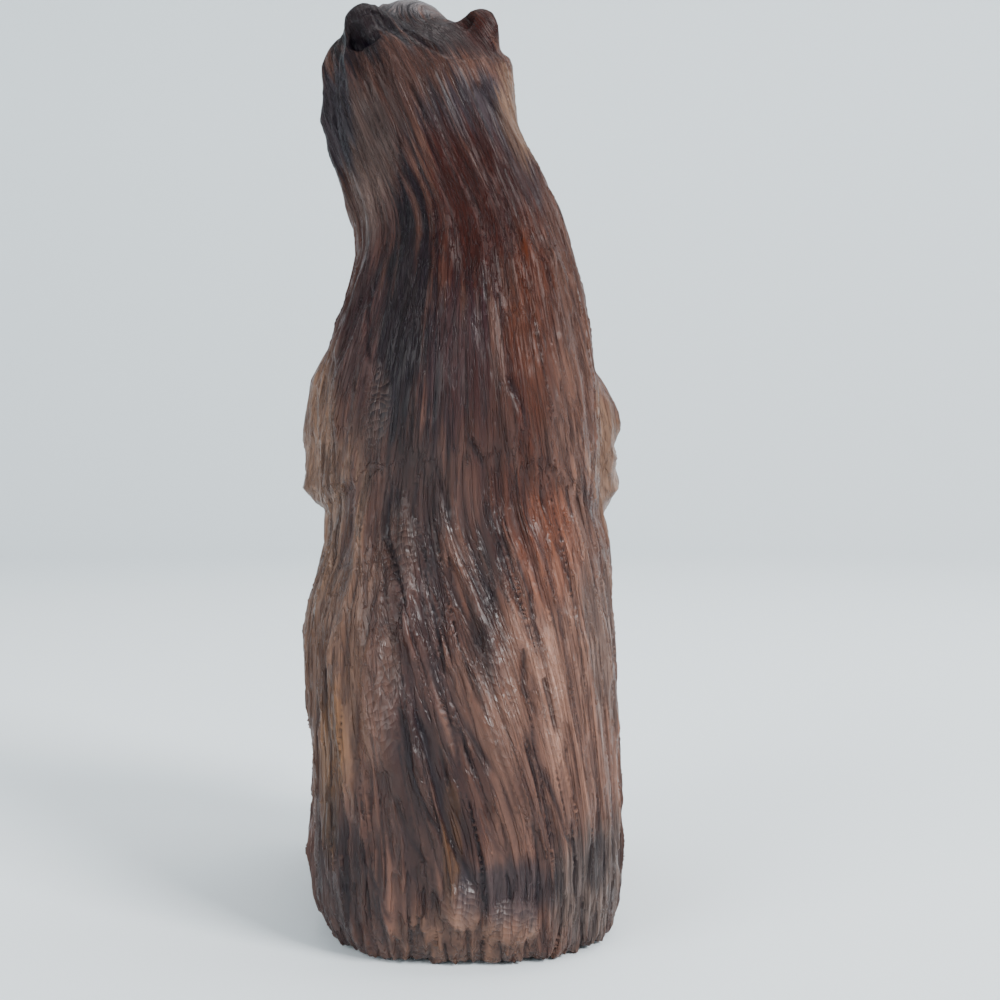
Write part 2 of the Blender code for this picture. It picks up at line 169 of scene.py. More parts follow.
# The claws' limbs: the end ball of each foot and paw, and the turn up its front where they start.
CLAWED = (
    ((0.105, -0.222, 0.040, 0.065), 18),
    ((-0.105, -0.222, 0.040, 0.065), 18),
    ((0.066, -0.190, 0.522, 0.057), -8),
    ((-0.120, -0.174, 0.540, 0.056), -8),
)
CLAW_SPREAD = (-0.63, -0.21, 0.21, 0.63)
CLAW_STAND = 1.03  # how far a claw's balls stand out, in radii of the paw
CLAW_RADII = (0.0013, 0.0013, 0.0012, 0.0012, 0.0011, 0.0011, 0.0010, 0.0009, 0.0008)
CLAW_SWING = 4.5  # degrees down the front of the toes from one ball of a claw to the next


def ramp(low, high, value):
    """0 below low, 1 above high, smooth between, for single values and whole arrays."""
    t = np.clip((value - low) / (high - low), 0.0, 1.0)
    return t * t * (3 - 2 * t)


def shares(points):
    """Places in the frame, as shares of the height from the bear's own axis."""
    return (points - AXIS) / HEIGHT


def unit(vectors):
    return vectors / np.maximum(np.linalg.norm(vectors, axis=1), 1e-9)[:, None]


def lean_of_fur(x, y, z):
    """How far the fur leans to the bear's left as it runs down, by place."""
    nape = -0.42 - 0.35 * ramp(0.84, 0.92, z) * ramp(0.12, 0.02, x)
    shoulders = 2.2 * x
    sweep = -0.36 * np.exp(-(((x + 0.02) / 0.10) ** 2)) * ramp(0.06, 0.16, z)
    fan = 2.4 * x * ramp(0.36, 0.45, z)
    haunches = sweep * (1 - ramp(0.38, 0.45, z)) + fan
    back = haunches + (shoulders - haunches) * ramp(0.45, 0.49, z)
    back = back + (nape - back) * ramp(0.67, 0.75, z)
    front = 0.8 * x
    return front + (back - front) * ramp(-0.06, 0.03, y)


def fur_way(points, normals):
    """The way the fur runs along the skin, for each place."""
    places = shares(points)
    x, y, z = places.T
    ways = np.stack((lean_of_fur(x, y, z), np.zeros_like(x), -np.ones_like(x)), axis=1)
    for start, end, radius in LIMB_LINES:
        start, along = np.array(start), np.array(end) - start
        share = np.clip((places - start) @ along / (along @ along), 0.0, 1.0)
        off = np.linalg.norm(places - start - share[:, None] * along, axis=1)
        pull = 0.9 * ramp(1.5 * radius, 0.9 * radius, off) * ramp(0.0, -0.05, y)
        ways += pull[:, None] * (along / np.linalg.norm(along) - ways)
    ways -= np.sum(ways * normals, axis=1)[:, None] * normals
    return unit(ways)


def in_head(places):
    """Places in shares of the height, read in the head's own frame."""
    return (places - np.array(HEAD_CENTRE)) @ np.array(HEAD_TURN.to_matrix())


def crown(points):
    """1 on the smooth crown and face, 0 in the fur."""
    places = shares(points)
    edge = -(places - MANE_EDGE[0]) @ np.array(MANE_EDGE[1])
    foot = -(places - MANE_FOOT[0]) @ np.array(MANE_FOOT[1])
    top = np.minimum(ramp(0.0, 0.005, edge), ramp(0.0, 0.006, foot))
    muzzle = ramp(-0.055, -0.075, in_head(places)[:, 1]) * ramp(0.72, 0.76, places[:, 2])
    return np.maximum(top, muzzle)


def dressed(mesh, dress):
    """The mesh as it comes out of the modifiers that dress puts on it."""
    thing = bpy.data.objects.new("being_dressed", mesh)
    bpy.context.collection.objects.link(thing)
    dress(thing)
    graph = bpy.context.evaluated_depsgraph_get()
    made = bpy.data.meshes.new_from_object(thing.evaluated_get(graph))
    bpy.data.objects.remove(thing, do_unlink=True)
    return made


def claws():
    """Small tapered chains of balls over the toes, as points and radii in the frame."""
    balls = []
    for (x, y, z, radius), start in CLAWED:
        for across in CLAW_SPREAD:
            reach = math.sqrt(1 - across * across)
            for i, thick in enumerate(CLAW_RADII):
                turn = math.radians(start - CLAW_SWING * i)
                out = radius * reach * CLAW_STAND
                spot = np.array((x + across * radius, y - out * math.cos(turn),
                                 z + out * math.sin(turn)))
                balls.append((spot * HEIGHT + AXIS, thick))
    return balls


def bare_skin():
    """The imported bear's form, with claws, as one fine, even, softened skin."""
    bm = bmesh.new()
    bm.from_mesh(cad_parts["carved_bear"].data)
    bmesh.ops.remove_doubles(bm, verts=bm.verts[:], dist=1e-6)
    for place, radius in claws():
        made = bmesh.ops.create_icosphere(bm, subdivisions=2, radius=radius)
        bmesh.ops.translate(bm, verts=made["verts"], vec=place)
    mesh = bpy.data.meshes.new("bare_skin")
    bm.to_mesh(mesh)
    bm.free()

    def dress(thing):
        remesh = thing.modifiers.new("Fine", "REMESH")
        remesh.mode = "VOXEL"
        remesh.voxel_size = SKIN_VOXEL
        soften = thing.modifiers.new("Soften", "SMOOTH")
        soften.factor = 0.5
        soften.iterations = SKIN_ROUNDS

    return dressed(mesh, dress)


def vectors_of(mesh, attribute):
    values = np.empty(3 * len(mesh.vertices))
    mesh.vertices.foreach_get(attribute, values)
    return values.reshape(-1, 3)


def spread(points, gap, dice):
    """Points picked one after another, none nearer to the others than the gap."""
    order = list(range(len(points)))
    dice.shuffle(order)
    cells = {}
    picks = []
    around = [(i, j, k) for i in (-1, 0, 1) for j in (-1, 0, 1) for k in (-1, 0, 1)]
    keys = np.floor(points / gap).astype(int)
    for index in order:
        a, b, c = keys[index]
        point = points[index]
        near = (other for i, j, k in around for other in cells.get((a + i, b + j, c + k), ()))
        if all(np.dot(point - other, point - other) > gap * gap for other in near):
            cells.setdefault((a, b, c), []).append(point)
            picks.append(point)
    return np.array(picks)


def on_skin(tree, points):
    """The nearest places on the skin, and its normals there."""
    found = [tree.find_nearest(Vector(point)) for point in points]
    places = np.array([tuple(hit[0]) for hit in found])
    normals = np.array([tuple(hit[1]) for hit in found])
    return places, normals


def turned(ways, normals, angles):
    """The ways, turned on the skin by their angles."""
    sides = np.cross(normals, ways)
    return np.cos(angles)[:, None] * ways + np.sin(angles)[:, None] * sides


def vigour(points):
    """How strongly the chisel bites: on the haunches most, hardly on crown, face and claws."""
    places = shares(points)
    haunches = ramp(0.52, 0.38, places[:, 2])
    upper = UPPER_BITE + UPPER_SIDE_BITE * ramp(0.05, 0.11, np.abs(places[:, 0] - 0.01))
    bite = (upper + (1 - upper) * haunches) * (1 - CROWN_CALM * crown(points))
    bite = bite * (FRONT_BITE + (1 - FRONT_BITE) * ramp(-0.03, 0.03, places[:, 1]))
    for (x, z), (wide, high), _ in CHIPS:
        off = np.hypot((points[:, 0] - x * MM) / (wide * MM),
                       (points[:, 2] - z * MM) / (high * MM))
        among = ramp(1.3, 0.9, off) * ramp(0.0, 0.01, points[:, 1])
        bite = bite * (1 - (1 - CHIP_CALM) * among)
    spots = np.array([place for place, _ in claws()])
    gap = np.min(np.linalg.norm(points[:, None] - spots[None], axis=2), axis=1)
    return bite * ramp(0.0016, 0.0036, gap)


def grown(tree, seeds, half, depth, length, angle, power, number):
    """Strokes grown from their seeds along the fur, as rows of samples."""
    live = np.arange(len(seeds))
    places, normals = on_skin(tree, seeds)
    rows = []
    for step in range(STROKE_MOST):
        share = step * STROKE_STEP / length[live]
        keep = share < 1
        live, share, places, normals = live[keep], share[keep], places[keep], normals[keep]
        if not len(live):
            break
        ways = turned(fur_way(places, normals), normals, angle[live])
        taper = ramp(0.0, 0.18, share) * ramp(1.0, 0.65, share)
        deep = depth[live] * taper * vigour(places)
        rows.append(np.column_stack((places, ways, half[live], deep,
                                     np.full(len(live), power), np.full(len(live), number))))
        places, normals = on_skin(tree, places + STROKE_STEP * ways)
    return np.concatenate(rows)


def drawn(dice, count, low_high):
    return np.array([dice.uniform(*low_high) for _ in range(count)]) * MM


def fur_strokes(tree, points, dice):
    """The fur all over, one pass of the chisel after another."""
    rows = []
    for number, (gap, widths, depths, lengths, stray, power) in enumerate(PASSES):
        seeds = spread(points, gap * MM, dice)
        count = len(seeds)
        half = drawn(dice, count, widths) / 2
        depth = drawn(dice, count, depths)
        length = drawn(dice, count, lengths)
        angle = np.radians([dice.gauss(0.0, stray) for _ in range(count)])
        rows.append(grown(tree, seeds, half, depth, length, angle, power, number))
    return rows


def even_steps(points):
    """Points along a line of straight pieces, a stroke's step apart."""
    points = np.array(points, dtype=float)
    lengths = np.linalg.norm(np.diff(points, axis=0), axis=1)
    ends = np.concatenate(((0.0,), np.cumsum(lengths)))
    spots = np.linspace(0.0, ends[-1], max(3, int(ends[-1] / STROKE_STEP)))
    return np.stack([np.interp(spots, ends, column) for column in points.T], axis=1)


def drawn_cut(places, width, depth):
    """One cut through given places on the skin, as rows of samples."""
    ways = unit(np.gradient(places, axis=0))
    share = np.linspace(0.0, 1.0, len(places))
    taper = ramp(0.0, 0.2, share) * ramp(1.0, 0.7, share)
    count = len(places)
    return np.column_stack((places, ways, np.full(count, width * MM / 2), depth * MM * taper,
                            np.full(count, PLACED_POWER), np.full(count, BOLD_PASS)))


def back_cut(tree, line, width, depth):
    """One cut in the back, its points given across and up in mm."""
    flat = even_steps([(x * MM, BEHIND, z * MM) for x, z in line])
    hits = [tree.ray_cast(Vector(point), Vector((0, -1, 0)))[0] for point in flat]
    return drawn_cut(np.array([tuple(hit) for hit in hits if hit]), width, depth)


def eye_ring(side):
    """The crease round one eye, in the head's own frame."""
    x, y, z = EYE_PLACE
    turns = np.radians(np.arange(-20, 345, 15))
    across = side * (x + EYE_RING_OUT)
    return [(across, y + EYE_RING * math.cos(turn), z + EYE_RING * math.sin(turn))
            for turn in turns]


def placed_cuts(tree):
    """The cuts that are placed one by one: on the back, round the mouth, nose and eyes."""
    rows = []
    for line, width, depth in BOLD_CUTS:
        rows.append(back_cut(tree, line, width, depth))
    rings = tuple((eye_ring(side), *EYE_RING_CUT) for side in (1, -1))
    for line, width, depth in FACE_CUTS + rings:
        spots = np.array(line) @ np.array(HEAD_TURN.to_matrix()).T + HEAD_CENTRE
        places, _ = on_skin(tree, even_steps(spots * HEIGHT + AXIS))
        rows.append(drawn_cut(places, width, depth))
    return rows


def chisel_strokes(tree, points):
    """Samples along every stroke: place, way, half width, depth, power and pass."""
    dice = random.Random(SEED)
    order = list(range(len(points)))
    dice.shuffle(order)
    points = points[order[:SEED_PLACES]]
    return np.concatenate(fur_strokes(tree, points, dice) + placed_cuts(tree))


def stroke_cloud(samples):
    """The samples as an object of loose points that the carving tree reads."""
    mesh = bpy.data.meshes.new("stroke_samples")
    mesh.vertices.add(len(samples))
    mesh.vertices.foreach_set("co", samples[:, :3].ravel())
    along = mesh.attributes.new("along", "FLOAT_VECTOR", "POINT")
    along.data.foreach_set("vector", samples[:, 3:6].ravel())
    for column, name in ((6, "half_width"), (7, "depth"), (8, "power")):
        layer = mesh.attributes.new(name, "FLOAT", "POINT")
        layer.data.foreach_set("value", samples[:, column])
    number = mesh.attributes.new("pass", "INT", "POINT")
    number.data.foreach_set("value", samples[:, 9].astype(np.int32))
    cloud = bpy.data.objects.new("stroke_samples", mesh)
    bpy.context.collection.objects.link(cloud)
    return cloud


def socket(tree, name, kind, way="INPUT"):
    return tree.interface.new_socket(name=name, in_out=way, socket_type=kind)


def wire(tree, source, target):
    tree.links.new(source, target)


def plug(tree, value, slot):
    """Wires a node's output into the slot, or sets a plain value on it."""
    if isinstance(value, bpy.types.NodeSocket):
        wire(tree, value, slot)
    else:
        slot.default_value = value


def feed(tree, node, values):
    for slot, value in zip(node.inputs, values):
        plug(tree, value, slot)


def math_node(tree, operation, *values):
    node = tree.nodes.new("ShaderNodeMath")
    node.operation = operation
    feed(tree, node, values)
    return node.outputs[0]


def vector_node(tree, operation, *values):
    node = tree.nodes.new("ShaderNodeVectorMath")
    node.operation = operation
    feed(tree, node, values)
    return node.outputs["Value" if operation in ("LENGTH", "DOT_PRODUCT") else "Vector"]


def named_attribute(tree, name, kind):
    node = tree.nodes.new("GeometryNodeInputNamedAttribute")
    node.data_type = kind
    node.inputs["Name"].default_value = name
    return node.outputs["Attribute"]


def one_pass():
    """A group that gives how deep one pass of the chisel cuts at each point of the skin."""
    tree = bpy.data.node_groups.new("chisel_pass", "GeometryNodeTree")
    socket(tree, "Strokes", "NodeSocketGeometry")
    socket(tree, "Pass", "NodeSocketInt")
    socket(tree, "Cut", "NodeSocketFloat", "OUTPUT")
    entry = tree.nodes.new("NodeGroupInput")
    same = tree.nodes.new("FunctionNodeCompare")
    same.data_type = "INT"
    same.operation = "EQUAL"
    numbers = [slot for slot in same.inputs if slot.type == "INT"]
    wire(tree, named_attribute(tree, "pass", "INT"), numbers[0])
    wire(tree, entry.outputs["Pass"], numbers[1])
    split = tree.nodes.new("GeometryNodeSeparateGeometry")
    wire(tree, entry.outputs["Strokes"], split.inputs["Geometry"])
    wire(tree, same.outputs["Result"], split.inputs["Selection"])
    mine = split.outputs["Selection"]
    nearest = tree.nodes.new("GeometryNodeSampleNearest")
    wire(tree, mine, nearest.inputs["Geometry"])

    def read(value, kind):
        node = tree.nodes.new("GeometryNodeSampleIndex")
        node.data_type = kind
        wire(tree, mine, node.inputs["Geometry"])
        wire(tree, value, node.inputs["Value"])
        wire(tree, nearest.outputs["Index"], node.inputs["Index"])
        return node.outputs["Value"]

    here = tree.nodes.new("GeometryNodeInputPosition").outputs["Position"]
    place = read(here, "FLOAT_VECTOR")
    along = read(named_attribute(tree, "along", "FLOAT_VECTOR"), "FLOAT_VECTOR")
    half_width = read(named_attribute(tree, "half_width", "FLOAT"), "FLOAT")
    depth = read(named_attribute(tree, "depth", "FLOAT"), "FLOAT")
    power = read(named_attribute(tree, "power", "FLOAT"), "FLOAT")
    offset = vector_node(tree, "SUBTRACT", here, place)
    across = vector_node(tree, "LENGTH", vector_node(tree, "CROSS_PRODUCT", offset, along))
    share = math_node(tree, "POWER", math_node(tree, "DIVIDE", across, half_width), power)
    profile = math_node(tree, "MAXIMUM", math_node(tree, "SUBTRACT", 1.0, share), 0.0)
    leave = tree.nodes.new("NodeGroupOutput")
    wire(tree, math_node(tree, "MULTIPLY", profile, depth), leave.inputs["Cut"])
    return tree


def deepest_cut(tree, strokes):
    """How deep the deepest pass cuts, at each point of the skin."""
    chisel = one_pass()
    cut = None
    for number in range(BOLD_PASS + 1):
        node = tree.nodes.new("GeometryNodeGroup")
        node.node_tree = chisel
        wire(tree, strokes, node.inputs["Strokes"])
        node.inputs["Pass"].default_value = number
        deep = node.outputs["Cut"]
        cut = deep if cut is None else math_node(tree, "MAXIMUM", cut, deep)
    return cut


def pushed_in(tree, skin, amount):
    """The skin, moved inward along its normals by the amount."""
    push = tree.nodes.new("GeometryNodeSetPosition")
    inward = tree.nodes.new("ShaderNodeVectorMath")
    inward.operation = "SCALE"
    wire(tree, tree.nodes.new("GeometryNodeInputNormal").outputs["Normal"], inward.inputs["Vector"])
    wire(tree, math_node(tree, "MULTIPLY", amount, -1.0), inward.inputs["Scale"])
    wire(tree, skin, push.inputs["Geometry"])
    wire(tree, inward.outputs["Vector"], push.inputs["Offset"])
    return push.outputs["Geometry"]


def carving_tree():
    """Cuts the strokes into the skin, and keeps how deep each point was cut."""
    tree = bpy.data.node_groups.new("fur_carving", "GeometryNodeTree")
    socket(tree, "Skin", "NodeSocketGeometry")
    socket(tree, "Strokes", "NodeSocketObject")
    socket(tree, "Depth", "NodeSocketFloat")
    socket(tree, "Wood", "NodeSocketMaterial")
    socket(tree, "Carved", "NodeSocketGeometry", "OUTPUT")
    entry = tree.nodes.new("NodeGroupInput")
    strokes = tree.nodes.new("GeometryNodeObjectInfo")
    wire(tree, entry.outputs["Strokes"], strokes.inputs["Object"])
    store = tree.nodes.new("GeometryNodeStoreNamedAttribute")
    store.data_type = "FLOAT"
    store.domain = "POINT"
    store.inputs["Name"].default_value = "cut"
    wire(tree, entry.outputs["Skin"], store.inputs["Geometry"])
    wire(tree, deepest_cut(tree, strokes.outputs["Geometry"]), store.inputs["Value"])
    kept = named_attribute(tree, "cut", "FLOAT")
    amount = math_node(tree, "MULTIPLY", kept, entry.outputs["Depth"])
    carved = pushed_in(tree, store.outputs["Geometry"], amount)
    real = tree.nodes.new("GeometryNodeRealizeInstances")
    wire(tree, carved, real.inputs["Geometry"])
    finish = tree.nodes.new("GeometryNodeSetMaterial")
    wire(tree, real.outputs["Geometry"], finish.inputs["Geometry"])
    wire(tree, entry.outputs["Wood"], finish.inputs["Material"])
    leave = tree.nodes.new("NodeGroupOutput")
    wire(tree, finish.outputs["Geometry"], leave.inputs["Carved"])
    return tree


def set_input(modifier, name, value):
    """Sets a modifier's input by the identifier of the socket of that name."""
    for item in modifier.node_group.interface.items_tree:
        if item.name == name and item.in_out == "INPUT":
            modifier[item.identifier] = value


def carved_mesh(skin, cloud, wood):
    def dress(thing):
        carve = thing.modifiers.new("Carve", "NODES")
        carve.node_group = carving_tree()
        set_input(carve, "Strokes", cloud)
        set_input(carve, "Depth", 1.0)
        set_input(carve, "Wood", wood)
        ease = thing.modifiers.new("Ease", "SMOOTH")
        ease.factor = 0.5
        ease.iterations = 1
        triangles = thing.modifiers.new("Triangles", "TRIANGULATE")
        triangles.min_vertices = 4
        thin = thing.modifiers.new("Thin", "DECIMATE")
        thin.ratio = SKIN_TRIANGLES / (2 * len(skin.polygons))

    return dressed(skin, dress)


CREASE = 0.47  # the height of the crease across the back, as a share
FLOW_STEPS = 60


def flow_lines(points):
    """For each point, where its line of fur crosses the crease of the back, and its height."""
    x, y, z = shares(points).T
    step = (CREASE - z) / FLOW_STEPS
    side, level = x.copy(), z.copy()
    for _ in range(FLOW_STEPS):
        side = side - step * lean_of_fur(side, y, level)
        level = level + step
    return np.column_stack((side * HEIGHT, y * HEIGHT, z * HEIGHT))


def add_flow(mesh):
    layer = mesh.attributes.new("flow", "FLOAT_VECTOR", "POINT")
    layer.data.foreach_set("vector", flow_lines(vectors_of(mesh, "co")).ravel())


PATCH_EDGE = (1.25, 0.65)  # where a patch ends and where it is whole, in half sizes


def ragged_patch(tree, entry, outer, inner):
    """How far inside a ragged patch the group's point lies: the offset, and a soft mask."""
    off = vector_node(tree, "SUBTRACT", entry.outputs["Point"], entry.outputs["Place"])
    near = vector_node(tree, "LENGTH", vector_node(tree, "DIVIDE", off, entry.outputs["Size"]))
    rough = math_node(tree, "ADD", near, entry.outputs["Ragged"])
    fade = tree.nodes.new("ShaderNodeMapRange")
    fade.interpolation_type = "SMOOTHSTEP"
    feed(tree, fade, (rough, outer, inner, 0.0, 1.0))
    return off, fade.outputs["Result"]


def patch_group():
    """A soft-edged, ragged patch of colour in the wood, round a place."""
    tree = bpy.data.node_groups.new("wood_patch", "ShaderNodeTree")
    for name in ("Point", "Place", "Size"):
        socket(tree, name, "NodeSocketVector")
    socket(tree, "Ragged", "NodeSocketFloat")
    socket(tree, "Mask", "NodeSocketFloat", "OUTPUT")
    _, mask = ragged_patch(tree, tree.nodes.new("NodeGroupInput"), *PATCH_EDGE)
    leave = tree.nodes.new("NodeGroupOutput")
    wire(tree, mask, leave.inputs["Mask"])
    return tree


def noise(tree, vector, detail, roughness=0.5):
    node = tree.nodes.new("ShaderNodeTexNoise")
    wire(tree, vector, node.inputs["Vector"])
    node.inputs["Scale"].default_value = 1.0
    node.inputs["Detail"].default_value = detail
    node.inputs["Roughness"].default_value = roughness
    return node.outputs["Fac"]


def mapped(tree, vector, scale):
    node = tree.nodes.new("ShaderNodeMapping")
    wire(tree, vector, node.inputs["Vector"])
    node.inputs["Scale"].default_value = scale
    return node.outputs["Vector"]


def mixed(tree, share, low, high, blend="MIX"):
    node = tree.nodes.new("ShaderNodeMix")
    node.data_type = "RGBA"
    node.blend_type = blend
    colours = [slot for slot in node.inputs if slot.type == "RGBA"]
    plug(tree, share, node.inputs[0])
    plug(tree, low, colours[0])
    plug(tree, high, colours[1])
    return [slot for slot in node.outputs if slot.type == "RGBA"][0]


def tinted(tree, colour, share, strength, tint):
    return mixed(tree, math_node(tree, "MULTIPLY", share, strength), colour, tint)


def spread_value(tree, value, low, high, start=0.0, end=1.0):
    node = tree.nodes.new("ShaderNodeMapRange")
    feed(tree, node, (value, low, high, start, end))
    return node.outputs["Result"]


def hair_group():
    """Thin lines that run along the fur, finer than the chisel's strokes."""
    tree = bpy.data.node_groups.new("hair_lines", "ShaderNodeTree")
    socket(tree, "Lines", "NodeSocketVector")
    socket(tree, "Pitch", "NodeSocketVector")
    socket(tree, "Width", "NodeSocketFloat")
    socket(tree, "Mask", "NodeSocketFloat", "OUTPUT")
    entry = tree.nodes.new("NodeGroupInput")
    scaled = vector_node(tree, "MULTIPLY", entry.outputs["Lines"], entry.outputs["Pitch"])
    level = noise(tree, scaled, 2.0)
    off = math_node(tree, "ABSOLUTE", math_node(tree, "SUBTRACT", level, 0.5))
    fade = tree.nodes.new("ShaderNodeMapRange")
    fade.interpolation_type = "SMOOTHSTEP"
    feed(tree, fade, (off, 0.0, entry.outputs["Width"], 1.0, 0.0))
    leave = tree.nodes.new("NodeGroupOutput")
    wire(tree, fade.outputs["Result"], leave.inputs["Mask"])
    return tree


def chip_group():
    """Rows of short, tilted chips round a place, as a height."""
    tree = bpy.data.node_groups.new("chip_rows", "ShaderNodeTree")
    for name in ("Point", "Place", "Size", "Step", "Across"):
        socket(tree, name, "NodeSocketVector")
    socket(tree, "Ragged", "NodeSocketFloat")
    socket(tree, "Wander", "NodeSocketFloat")
    socket(tree, "Height", "NodeSocketFloat", "OUTPUT")
    entry = tree.nodes.new("NodeGroupInput")
    off, mask = ragged_patch(tree, entry, *CHIP_EDGE)
    column = vector_node(tree, "DOT_PRODUCT", off, entry.outputs["Across"])
    column = math_node(tree, "ADD", column, entry.outputs["Wander"])
    shift = math_node(tree, "MULTIPLY", math_node(tree, "FLOOR", column), CHIP_SHIFT)
    row = vector_node(tree, "DOT_PRODUCT", off, entry.outputs["Step"])
    row = math_node(tree, "ADD", math_node(tree, "ADD", row, shift), entry.outputs["Wander"])
    tilt = math_node(tree, "POWER", math_node(tree, "FRACT", row), CHIP_PROFILE)
    leave = tree.nodes.new("NodeGroupOutput")
    wire(tree, math_node(tree, "MULTIPLY", tilt, mask), leave.inputs["Height"])
    return tree


def chip_height(tree, where, ragged):
    """The heights of all the chips on the back, added up."""
    often, far = CHIP_WANDER
    wander = noise(tree, mapped(tree, where, (often, often, often)), 1.0)
    wander = math_node(tree, "MULTIPLY", wander, far)
    group = chip_group()
    total = None
    for (x, z), (wide, high), (run, drop) in CHIPS:
        node = tree.nodes.new("ShaderNodeGroup")
        node.node_tree = group
        wire(tree, where, node.inputs["Point"])
        wire(tree, ragged, node.inputs["Ragged"])
        wire(tree, wander, node.inputs["Wander"])
        pitch = (run * run + drop * drop) * MM
        node.inputs["Place"].default_value = (x * MM, CHIP_PLACE_Y, z * MM)
        node.inputs["Size"].default_value = (wide * MM, CHIP_REACH_Y, high * MM)
        node.inputs["Step"].default_value = (run / pitch, 0, drop / pitch)
        node.inputs["Across"].default_value = (1 / (CHIP_COLUMN * MM), 0, 0.5 * run / pitch)
        height = node.outputs["Height"]
        total = height if total is None else math_node(tree, "ADD", total, height)
    return total


def rgb(red, green, blue):
    """A colour as it looks on the wood in soft light, made linear."""
    return tuple((value / 255) ** 2.2 for value in (red, green, blue)) + (1.0,)


BROWN = rgb(88, 62, 54)
TAN = rgb(128, 100, 82)
OCHRE = rgb(130, 92, 56)
# DARK is the wood's dark figure and also the painted shade in the cuts and hair lines.
DARK = rgb(24, 20, 27)
SLATE = rgb(46, 46, 54)
PURPLE = rgb(52, 36, 40)
RED = rgb(52, 24, 20)
ORANGE = rgb(76, 39, 24)
PINK = rgb(144, 106, 90)
AMBER = rgb(136, 74, 46)
# Painted sheen: the pale grey of light reflected off the crown.
CROWN_SHEEN_GREY = rgb(122, 121, 125)
STONE = rgb(112, 98, 92)
# The colour of the painted glint on the chips' raised, tilted faces.
CHIP_GLINT = rgb(176, 146, 134)
STREAK_DARK = rgb(150, 140, 136)
STREAK_LIGHT = rgb(255, 250, 246)

# How finely each noise in the wood runs across the fur, into the block and along the fur, in
# parts per metre.
RAGGED_GRAIN = (420, 120, 24)
STREAK_GRAIN = (900, 500, 26)
HAIR_GRAIN = (1000, 640, 40)
SATIN_GRAIN = (500, 300, 120)
FINE_GRAIN = (2600, 1600, 160)
HAIR_WIDTH = 0.06  # how far from its middle level the noise still draws a hair line

# How strongly painted shade darkens the hair lines and the cuts and a painted glint lightens the
# chips, and the depths from which and to which the painted shade in a cut deepens.
HAIR_PAINTED_SHADE = 0.3
CUT_PAINTED_SHADE = 0.80
CHIP_PAINTED_GLINT = 0.10
CUT_SHADE_DEPTHS = (0.00040, 0.00140)
CHIP_WANDER = (260, 2.2)  # how often per metre, and by how many chips, their rows wander

ROUGHNESS = (0.28, 0.46)
SHEEN = (0.25, 0.11)  # the oil's sheen on the haunches and on the upper back
SHEEN_LEVELS = (0.095, 0.125)  # the heights between which it fades
FINE_HEIGHT = 0.00025  # how high the finest relief stands
FINE_STRENGTH = 0.7

# Patches of the wood's figure, and on the crown a painted sheen and a painted shade, each over the
# ones before: colour, middle in mm, half size in mm and strength.
PATCHES = (
    (PINK, (-4, 40, 38), (38, 34, 46), 0.34),
    (TAN, (30, 12, 92), (12, 30, 26), 0.85),
    (TAN, (26, 30, 55), (12, 30, 30), 0.55),
    (PINK, (-30, 20, 110), (14, 26, 32), 0.22),
    (PINK, (-27, 30, 56), (14, 26, 34), 0.95),
    (STONE, (-30, 30, 62), (8, 20, 18), 0.6),
    (TAN, (-34, 10, 96), (8, 20, 16), 0.8),
    (STONE, (-26, 34, 14), (10, 20, 12), 0.9),
    (TAN, (-2, 44, 4), (13, 10, 7), 0.4),
    (PURPLE, (17, 30, 145), (10, 20, 24), 0.45),
    (STONE, (19, 22, 154), (7, 14, 16), 0.45),
    (PURPLE, (18, 30, 118), (8, 16, 18), 0.6),
    (DARK, (15, 24, 170), (15, 22, 16), 0.40),
    (SLATE, (-6, 24, 163), (13, 16, 9), 0.8),
    (SLATE, (26, 14, 164), (5, 20, 15), 0.8),
    (SLATE, (-12, 24, 152), (5, 14, 9), 0.6),
    (TAN, (-13, 18, 168), (5, 14, 13), 0.8),
    (RED, (-3, 30, 141), (13, 16, 23), 0.97),
    (PURPLE, (0, 34, 112), (9, 16, 16), 0.8),
    (DARK, (10, 32, 124), (6, 16, 30), 0.9),
    (ORANGE, (-14, 34, 122), (5, 14, 25), 0.75),
    (RED, (-6, 36, 98), (7, 14, 14), 0.6),
    (DARK, (8, 38, 88), (8, 14, 18), 0.6),
    (ORANGE, (-14, 38, 86), (10, 14, 10), 0.7),
    (AMBER, (-18, 36, 76), (7, 14, 11), 0.4),
    (RED, (-7, 42, 62), (3, 12, 13), 0.6),
    (ORANGE, (1, 42, 66), (4, 10, 11), 0.5),
    (PURPLE, (8, 42, 58), (9, 12, 22), 0.55),
    (DARK, (-5, 42, 70), (3, 10, 20), 0.6),
    (DARK, (6, 44, 34), (9, 14, 20), 0.55),
    (RED, (-2, 44, 32), (5, 12, 11), 0.5),
    (OCHRE, (24, 34, 36), (3, 14, 15), 0.65),
    (OCHRE, (1, 44, 26), (1.6, 10, 10), 0.35),
    (DARK, (22, 36, 16), (8, 14, 16), 0.55),
    (DARK, (-26, 34, 18), (3, 12, 6), 0.6),
    (SLATE, (-11, 44, 15), (9, 12, 6), 0.7),
    # Painted sheen on the crown's dome.
    (CROWN_SHEEN_GREY, (12, 8, 193), (13, 18, 7), 0.85),
    # Painted shade: darkens the saddle between the ears and the lower crown, whose top faces the
    # light from above.
    (DARK, (3, 16, 181), (12, 18, 7), 0.8),
    (RED, (-4, 14, 184), (5, 14, 8), 0.9),
    (DARK, (19, 18, 183), (9, 16, 10), 0.9),
    (RED, (0, -30, 120), (16, 16, 30), 0.7),
    (DARK, (8, -34, 190), (14, 18, 16), 0.6),
    (TAN, (4, -38, 60), (16, 18, 34), 0.6),
    (DARK, (-14, -38, 30), (8, 16, 26), 0.6),
    (DARK, (22, -40, 14), (10, 16, 14), 0.5),
)


def skin_attribute(tree, name):
    node = tree.nodes.new("ShaderNodeAttribute")
    node.attribute_name = name
    return node.outputs


